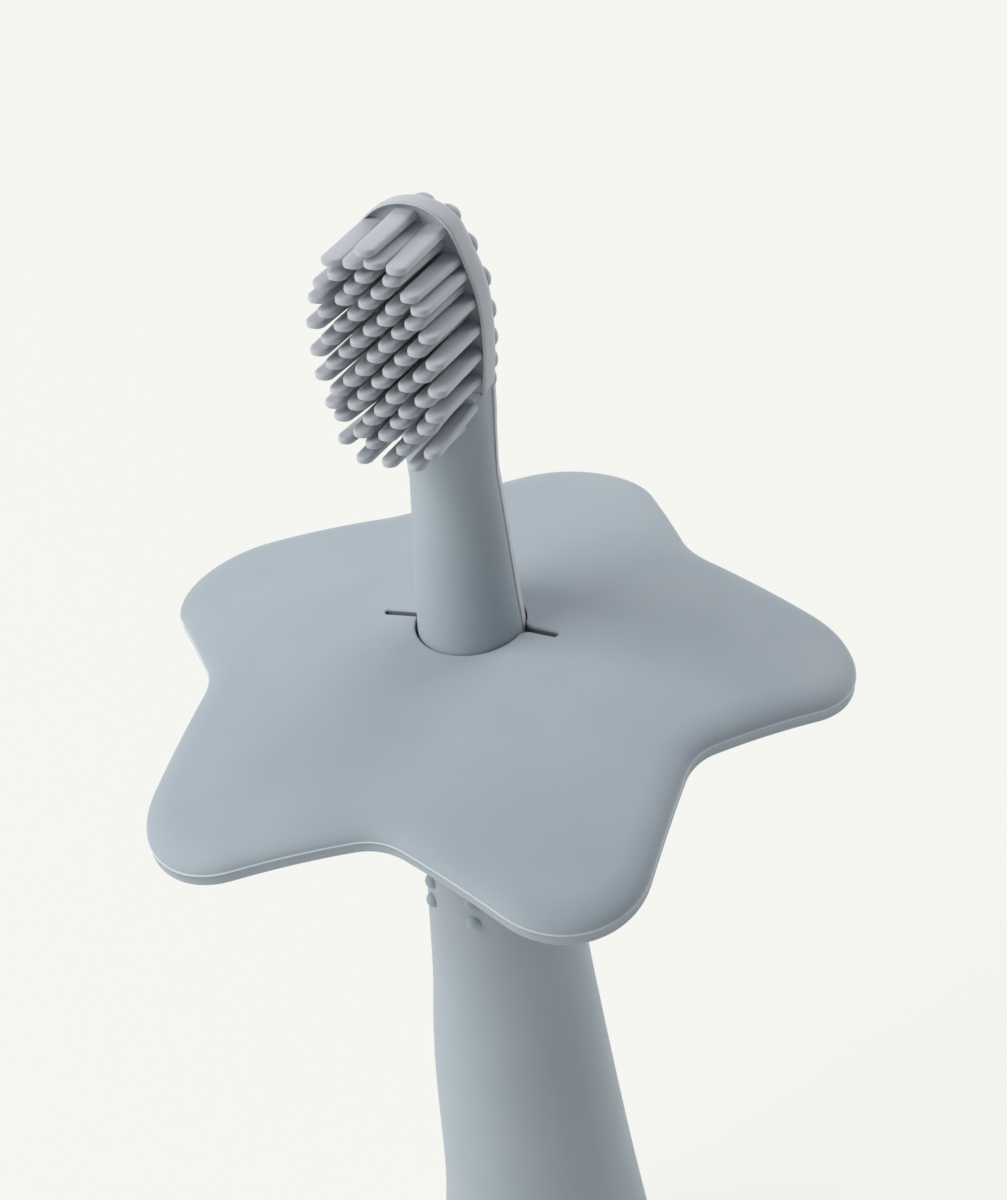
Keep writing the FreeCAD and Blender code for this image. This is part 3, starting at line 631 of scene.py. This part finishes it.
for height, count in FLAT_ROWS:
    for n in range(count):
        across = NUB_PITCH * (n - (count - 1) / 2) + lean_aside(height)
        point = (across, HEAD_BACK, height - slope_back(HEAD_BACK, height))
        nubs.append((point, facing((0, 1, 0)), UNSTRETCHED))
nub = stud("nub", NUB_RADIUS, NUB_RISE, NUB_FULLNESS, head_rubber)
back_nubs = plant("back_nubs", nub, nubs, head_rubber)
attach(back_nubs, "brush")
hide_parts("bristle_head")

# Tines: flat rubber tongues with round ends in staggered rows, moulded with the head. They lean
# up a little, and no two stand quite the same.
TINE_ROOT, TINE_LENGTH, TINE_WIDTH, TINE_TIP_WIDTH = -1.2, 10.6, 2.0, 1.85
TINE_THICKNESS, TINE_TIP_THICKNESS = 1.15, 0.82
TINE_LEAN, TINE_STRAY, TINE_ROLL = 8.0, 0.8, 0.03
TINE_BEND, TINE_TIP_BEND, TINE_SIDES, TINE_TIP_STEPS = 0.5, 0.4, 20, 8
TINE_HALF, ROOT_MARGIN, NECK_ROOM = 0.6, 0.05, 4.45
# a row of tines is its height, their number, how far out the last tip stands and their stretch
TINE_ROWS = [(139.95, 1, 0.3, 1.1), (138.55, 4, 3.25, 1.1), (137.15, 3, 2.65, 1.0),
             (135.75, 4, 4.3, 1.0), (134.35, 5, 4.95, 1.0), (132.95, 4, 4.35, 1.0),
             (131.55, 5, 5.55, 1.0), (130.15, 4, 4.35, 1.0), (128.75, 5, 5.75, 1.0),
             (127.35, 4, 4.35, 1.0), (125.95, 5, 5.65, 1.0), (124.55, 4, 4.35, 1.0),
             (123.15, 5, 5.05, 1.0), (121.75, 4, 4.3, 1.0), (120.35, 3, 2.6, 1.0),
             (119.15, 4, 4.45, 0.85), (117.4, 3, 2.7, 0.85)]


def tine():
    """One tine on its own axis: a tapering tongue with a half-round end and soft edges."""
    rows = [round_level(0.0, 0.0)]
    shaft = TINE_LENGTH - TINE_TIP_WIDTH / 2
    for share in (0.0, 0.1, 0.4, 0.7, 1.0):
        width = TINE_WIDTH + (TINE_TIP_WIDTH - TINE_WIDTH) * share
        thickness = TINE_THICKNESS + (TINE_TIP_THICKNESS - TINE_THICKNESS) * share
        rows.append((shaft * share, width / 2, thickness / 2, 0.0))
    for turn in quarter(TINE_TIP_STEPS)[1:]:
        height = shaft + TINE_TIP_WIDTH / 2 * math.sin(turn)
        rows.append((height, TINE_TIP_WIDTH / 2 * math.cos(turn),
                     TINE_TIP_THICKNESS / 2 * math.cos(turn) ** TINE_TIP_BEND, 0.0))
    piece = turn_piece("tine", rows, TINE_SIDES, head_rubber, bend=lambda height: TINE_BEND)
    outward(piece)
    return piece


floor_path = [(x, z) for x, z in egg(inner) if x >= 0 and z > SLEEVE_END]


def half_room(height):
    """Half width of the floor at a height, and of the neck's front below it."""
    for (x0, z0), (x1, z1) in zip(floor_path, floor_path[1:]):
        if z0 <= height <= z1:
            return x0 + (x1 - x0) * (height - z0) / (z1 - z0)
    return NECK_ROOM


stray = random.Random(5)
places = []
for height, count, outmost, stretch in TINE_ROWS:
    room = min(half_room(height + TINE_HALF), half_room(height - TINE_HALF))
    room -= stretch * TINE_WIDTH / 2 + ROOT_MARGIN
    for n in range(count):
        tip = outmost * (2 * n / (count - 1) - 1) if count > 1 else outmost
        root = min(max(tip, -room), room)
        lean = math.radians(90 - TINE_LEAN + stray.uniform(-TINE_STRAY, TINE_STRAY))
        splay = (tip - root) / TINE_LENGTH
        splay += math.radians(stray.uniform(-TINE_STRAY, TINE_STRAY))
        point = (root, TINE_ROOT, height + TINE_ROLL * root)
        places.append((point, (lean, 0.0, splay), (stretch, 1.0, 1.0)))
tines = plant("tines", tine(), places, head_rubber)
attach(tines, "brush")
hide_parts("bristle_head")

# Star guard: a domed five-pointed star of the blue-grey rubber, with a hole that hugs the neck and
# a slit through it so that the guard can be pulled over the head. A thin flash line runs round it.
# The slit's walls and the hole's lips are darkened with painted shade.
GUARD_CROWN, GUARD_DOME, GUARD_THICK = 92.63, 95.0, 2.8
GUARD_TILT, GUARD_TURN = (0.011, 0.003), math.radians(4.2)
STAR_POINTS, TIP_RADIUS, VALLEY_RADIUS, TIP_ROUND, VALLEY_ROUND = 5, 36.55, 26.37, 8.6, 7.5
STAR_SHIFT, ROUND_STEPS, FLANK_STEPS = (0.43, -0.86), 24, 12
HOLE_RADIUS, SLIT_HALF, SLIT_WIDTH, SLIT_CORNERS, SLIT_SOFT = 5.34, 8.95, 0.62, (1.0, 0.3), 1.6
# the lips' width, how far they dip and the share of painted shade they take
LIP_WIDTH, LIP_DIP, LIP_PAINTED_SHADE = 0.25, 0.16, 0.7
EDGE_REACH, EDGE_DROP, EDGE_LOW_ROUND = 2.9, 1.2, 0.5
FLASH_PROUD, FLASH_LEVEL = 0.12, 1.36
# the flash line's section: how far each ring lies in from the outline, as a share of how proud the
# line is, and how far below its middle
FLASH_SECTION = [(0.0, -0.12), (-0.6, -0.06), (-1.0, 0.0), (-0.6, 0.06), (0.4, 0.12)]
GUARD_SIDES, GUARD_CROWDING = 520, 0.75
# the rings run over the top from the hole to the edge, down the edge and back under to the hole:
# first circles round the hole as far as the slit's end, then shares of the way to the edge
NEAR_RADII = [HOLE_RADIUS, 5.38, 5.45, 5.54, 5.62, 5.74, 5.9, 6.1, 6.35, 6.7, 7.1, 7.5, 7.9, 8.2,
              8.45, 8.6, 8.7, 8.78, 8.85, 8.9, 8.93, SLIT_HALF, 9.05, 9.3]
FAR_SHARES = [0.04, 0.09, 0.15, 0.22, 0.3, 0.39, 0.48, 0.57, 0.66, 0.75, 0.84, 0.92]
TOP_RINGS = len(NEAR_RADII) + len(FAR_SHARES)
SLIT_RINGS = NEAR_RADII.index(SLIT_HALF)
# the darkest colour here is painted shade in the slit and on the hole's lips
guard_rubber = rubber("blue_grey_guard_rubber", BLUE_GREY, BLUE_GREY_PALE, BLUE_GREY_SHEEN,
                      flash_and_highlight=linear(205, 211, 216), painted_shade=linear(104, 104, 110))


def arc(x, y, radius, first, last):
    """Points of an arc about a middle, from one angle to another."""
    turns = [first + (last - first) * n / ROUND_STEPS for n in range(ROUND_STEPS + 1)]
    return [(x + radius * math.cos(turn), y + radius * math.sin(turn)) for turn in turns]


def star_outline():
    """Points of the star's outline, in order round it, about the hole."""
    half = math.pi / STAR_POINTS
    tip_x, valley = TIP_RADIUS - TIP_ROUND, VALLEY_RADIUS + VALLEY_ROUND
    valley_x, valley_y = valley * math.cos(half), valley * math.sin(half)
    step_x = valley_x - tip_x
    reach = math.hypot(step_x, valley_y)
    bend = math.atan2(valley_y, step_x) - math.acos((TIP_ROUND + VALLEY_ROUND) / reach)
    tip_arc = arc(tip_x, 0.0, TIP_ROUND, 0.0, bend)
    valley_arc = arc(valley_x, valley_y, VALLEY_ROUND, bend + math.pi, half + math.pi)
    start, end = Vector(tip_arc[-1]), Vector(valley_arc[0])
    between = [tuple(start.lerp(end, n / FLANK_STEPS)) for n in range(1, FLANK_STEPS)]
    one_side = tip_arc + between + valley_arc
    both = [(x, -y) for x, y in reversed(one_side)] + one_side
    points = []
    for n in range(STAR_POINTS):
        angle = math.pi / 2 + 2 * half * n
        c, s = math.cos(angle), math.sin(angle)
        points += [(x * c - y * s + STAR_SHIFT[0], x * s + y * c + STAR_SHIFT[1]) for x, y in both]
    return points


full_turn = 2 * math.pi
polar = sorted((math.atan2(y, x) % full_turn, math.hypot(x, y)) for x, y in star_outline())
(first_angle, first_reach), (last_angle, last_reach) = polar[0], polar[-1]
polar = [(last_angle - full_turn, last_reach)] + polar + [(first_angle + full_turn, first_reach)]


def star_reach(angle):
    """Distance from the hole's middle to the outline at an angle."""
    for (a0, r0), (a1, r1) in zip(polar, polar[1:]):
        if a0 <= angle <= a1:
            return r0 + (r1 - r0) * (angle - a0) / max(a1 - a0, 1e-9)
    return first_reach


rays, edge = [], []
for n in range(GUARD_SIDES):
    angle = full_turn * n / GUARD_SIDES
    angle -= GUARD_CROWDING / 2 * math.sin(2 * angle)
    rays.append(Vector((math.cos(angle), math.sin(angle))))
    edge.append(rays[n] * star_reach(angle))
normals = []
for n in range(GUARD_SIDES):
    along = edge[(n + 1) % GUARD_SIDES] - edge[n - 1]
    normals.append(Vector((along.y, -along.x)).normalized())


def dome(x, y, radius):
    """Height of the guard's upper or lower dome over a point."""
    return GUARD_CROWN - GUARD_DOME + math.sqrt(radius ** 2 - x * x - y * y)


def slit_half_width(x):
    """Half width of the slit at a distance from the hole's middle. It is wider at the hole."""
    half, corner = SLIT_WIDTH / 2, SLIT_CORNERS[x < 0]
    left = min(max(SLIT_HALF - abs(x), 0.0), half)
    near = min(max(HOLE_RADIUS + corner - abs(x), 0.0), corner)
    flare = corner - math.sqrt(corner ** 2 - near ** 2)
    return math.sqrt(half ** 2 - (half - left) ** 2) + flare


def part_slit(x, y, side):
    """Push a point aside so that the slit opens between the two sides."""
    return y + side * slit_half_width(x) * math.exp(-abs(y) / SLIT_SOFT)


def lip(x, y):
    """How far the surface dips at the rounded lips of the hole and the slit."""
    gap = math.hypot(x, y) - HOLE_RADIUS
    if abs(x) < SLIT_HALF:
        gap = min(gap, abs(y) - slit_half_width(x))
    close = max(0.0, 1 - max(gap, 0.0) / LIP_WIDTH)
    return LIP_DIP * close * close


# the edge's section: how far in from the outline and how far down from the top each ring lies
edge_section = [(EDGE_REACH * (1 - math.sin(turn)), EDGE_DROP * (1 - math.cos(turn)))
                for turn in quarter(10)]
flash_rings = [len(edge_section) + n for n in range(1, 4)]
edge_section += [(FLASH_PROUD * share, FLASH_LEVEL + level) for share, level in FLASH_SECTION]
wall_inset = edge_section[-1][0]
edge_section += [(wall_inset + EDGE_LOW_ROUND * (1 - math.cos(turn)),
                  GUARD_THICK - EDGE_LOW_ROUND * (1 - math.sin(turn))) for turn in quarter(6)]
ring_count = 2 * TOP_RINGS + len(edge_section)
slit_columns = (0, GUARD_SIDES // 2)
guard_points, guard_index = [], {}
turn_c, turn_s = math.cos(GUARD_TURN), math.sin(GUARD_TURN)


def add_guard_point(key, x, y, z):
    """Keep a point of the guard, turned and tilted, under its ring, column and side of the slit."""
    guard_index[key] = len(guard_points)
    x, y = x * turn_c - y * turn_s, x * turn_s + y * turn_c
    guard_points.append((x * MM, y * MM, (z + GUARD_TILT[0] * x + GUARD_TILT[1] * y) * MM))


def guard_vertex(ring, column, side):
    """The number of a point. Only the points along the slit have one for each side."""
    key = (ring, column % GUARD_SIDES, side)
    return guard_index[key] if key in guard_index else guard_index[key[:2] + (0,)]


for n in range(GUARD_SIDES):
    spread = [rays[n] * radius for radius in NEAR_RADII]
    spread += [spread[-1].lerp(edge[n] - normals[n] * EDGE_REACH, share) for share in FAR_SHARES]
    for ring, flat in enumerate(spread):
        split = n in slit_columns and ring < SLIT_RINGS
        for side in ((1, -1) if split else (0,)):
            push = side or (n not in slit_columns and math.copysign(1, flat.y))
            y = part_slit(flat.x, flat.y, push)
            dip = lip(flat.x, y)
            add_guard_point((ring, n, side), flat.x, y, dome(flat.x, y, GUARD_DOME) - dip)
            add_guard_point((ring_count - 1 - ring, n, side), flat.x, y,
                            dome(flat.x, y, GUARD_DOME - GUARD_THICK) + dip)
    for ring, (inset, depth) in enumerate(edge_section):
        flat = edge[n] - normals[n] * inset
        top = dome(flat.x, flat.y, GUARD_DOME)
        thick = top - dome(flat.x, flat.y, GUARD_DOME - GUARD_THICK)
        drop = depth * thick / GUARD_THICK
        add_guard_point((TOP_RINGS + ring, n, 0), flat.x, flat.y, top - drop)
guard_faces = []
for n in range(GUARD_SIDES):
    side = 1 if n < GUARD_SIDES // 2 else -1
    for ring in range(ring_count):
        after = (ring + 1) % ring_count
        guard_faces.append((guard_vertex(ring, n, side), guard_vertex(ring, n + 1, side),
                            guard_vertex(after, n + 1, side), guard_vertex(after, n, side)))
for n in slit_columns:
    for side in (1, -1):
        for ring in range(SLIT_RINGS):
            under = ring_count - 1 - ring
            guard_faces.append((guard_vertex(ring, n, side), guard_vertex(ring + 1, n, side),
                                guard_vertex(under - 1, n, side), guard_vertex(under, n, side)))
guard_mesh = bpy.data.meshes.new("star_guard_skin")
guard_mesh.from_pydata(guard_points, [], guard_faces)
guard = bpy.data.objects.new("star_guard_skin", guard_mesh)
scene.collection.objects.link(guard)
# the flash line is marked paler; the slit's walls and the hole's lips are marked for painted shade
flash_marks, painted_shade_marks = [0.0] * len(guard_points), [0.0] * len(guard_points)
for (ring, column, side), index in guard_index.items():
    flash_marks[index] = float(ring - TOP_RINGS in flash_rings)
    painted_shade_marks[index] = 1.0 if side else LIP_PAINTED_SHADE * (ring in (0, ring_count - 1))
for key, marks in (("flash_and_highlight", flash_marks), ("painted_shade", painted_shade_marks)):
    guard_mesh.attributes.new(key, "FLOAT", "POINT").data.foreach_set("value", marks)
outward(guard)
paint(guard, guard_rubber)
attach(guard, "guard")
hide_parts("star_guard")

# Studio: a pale floor that fades into a pale backdrop, a large soft lamp from the front left, one
# behind on the right and a pale surround that lights the shadows.
PAPER = linear(245, 245, 240)
SHADE_TINT, SHADE_STRENGTH = linear(230, 238, 252), 0.28
FLOOR_LEVEL, FLOOR_REACH = -0.02 * MM, 3.0
# near the object the floor keeps a tenth of its own light, for the shadow, and far off none
FLOOR_GLOW, FADE_START, FADE_END = 0.9, 0.25, 0.9
LAMP_AIM = (0, 0, 0.09)
floor_mesh = bpy.data.meshes.new("studio_floor")
corners = ((-1, -1), (1, -1), (1, 1), (-1, 1))
floor_mesh.from_pydata([(x * FLOOR_REACH, y * FLOOR_REACH, FLOOR_LEVEL) for x, y in corners],
                       [], [(0, 1, 2, 3)])
floor = bpy.data.objects.new("studio_floor", floor_mesh)
scene.collection.objects.link(floor)


def seen_directly(graph):
    """One for rays from the camera, from a mirror or through glass, and zero for rays of light."""
    path = graph.node("ShaderNodeLightPath")
    camera_ray, mirror_ray, glass_ray = [Socket(graph, path.outputs[key]) for key in (
        "Is Camera Ray", "Is Glossy Ray", "Is Transmission Ray")]
    return camera_ray.math("MAXIMUM", camera_ray, mirror_ray.math("MAXIMUM", mirror_ray, glass_ray))


paper = Finish("pale_paper", Roughness=0.9, Base_Color=PAPER)
glow = paper.take("ShaderNodeEmission", 0, None, {"Color": PAPER, "Strength": 1.0})
lit = Socket(paper, paper.shader.outputs[0])
away = paper.take("ShaderNodeVectorMath", "Value", {"operation": "LENGTH"}, {0: paper.place})
faded = paper.ramp(away, FADE_START, FADE_END) * (1 - FLOOR_GLOW) + FLOOR_GLOW
blend = paper.take("ShaderNodeMixShader", 0, None, {
    0: seen_directly(paper) * faded, 1: lit, 2: glow})
paper.tree.links.new(blend.socket, paper.tree.nodes["Material Output"].inputs["Surface"])
paint(floor, paper)

world = bpy.data.worlds.new("pale_surround")
world.use_nodes = True
world.node_tree.nodes.clear()
scene.world = world
surround = Graph(world.node_tree)
shade, backdrop = [
    surround.take("ShaderNodeBackground", 0, None, {"Color": tint, "Strength": strength})
    for tint, strength in ((SHADE_TINT, SHADE_STRENGTH), (PAPER, 1.0))]
blend = surround.take("ShaderNodeMixShader", 0, None, {
    0: seen_directly(surround), 1: shade, 2: backdrop})
surround.node("ShaderNodeOutputWorld", None, {"Surface": blend})


def lamp(name, place, size, power):
    """A square soft lamp at a place, turned to face the object."""
    light = bpy.data.lights.new(name, "AREA")
    light.shape = "SQUARE"
    light.size = size
    light.energy = power
    holder = bpy.data.objects.new(name, light)
    holder.location = place
    aim = Vector(LAMP_AIM) - Vector(place)
    holder.rotation_euler = aim.to_track_quat("-Z", "Y").to_euler()
    scene.collection.objects.link(holder)


lamp("key_lamp", (-0.604, -0.472, 0.733), 0.8, 10.1)
lamp("back_lamp", (0.28, 0.84, 0.62), 0.7, 6.0)

camera_data = bpy.data.cameras.new("photo_camera")
camera_data.sensor_fit = "VERTICAL"
camera_data.sensor_height = 36
camera_data.lens = 114.39
camera = bpy.data.objects.new("photo_camera", camera_data)
camera.location = (0.142512, -0.257099, 0.314822)
camera.rotation_euler = [math.radians(angle) for angle in (52.9367, 5.5954, 24.1235)]
scene.collection.objects.link(camera)
scene.camera = camera
scene.view_settings.view_transform = "Standard"
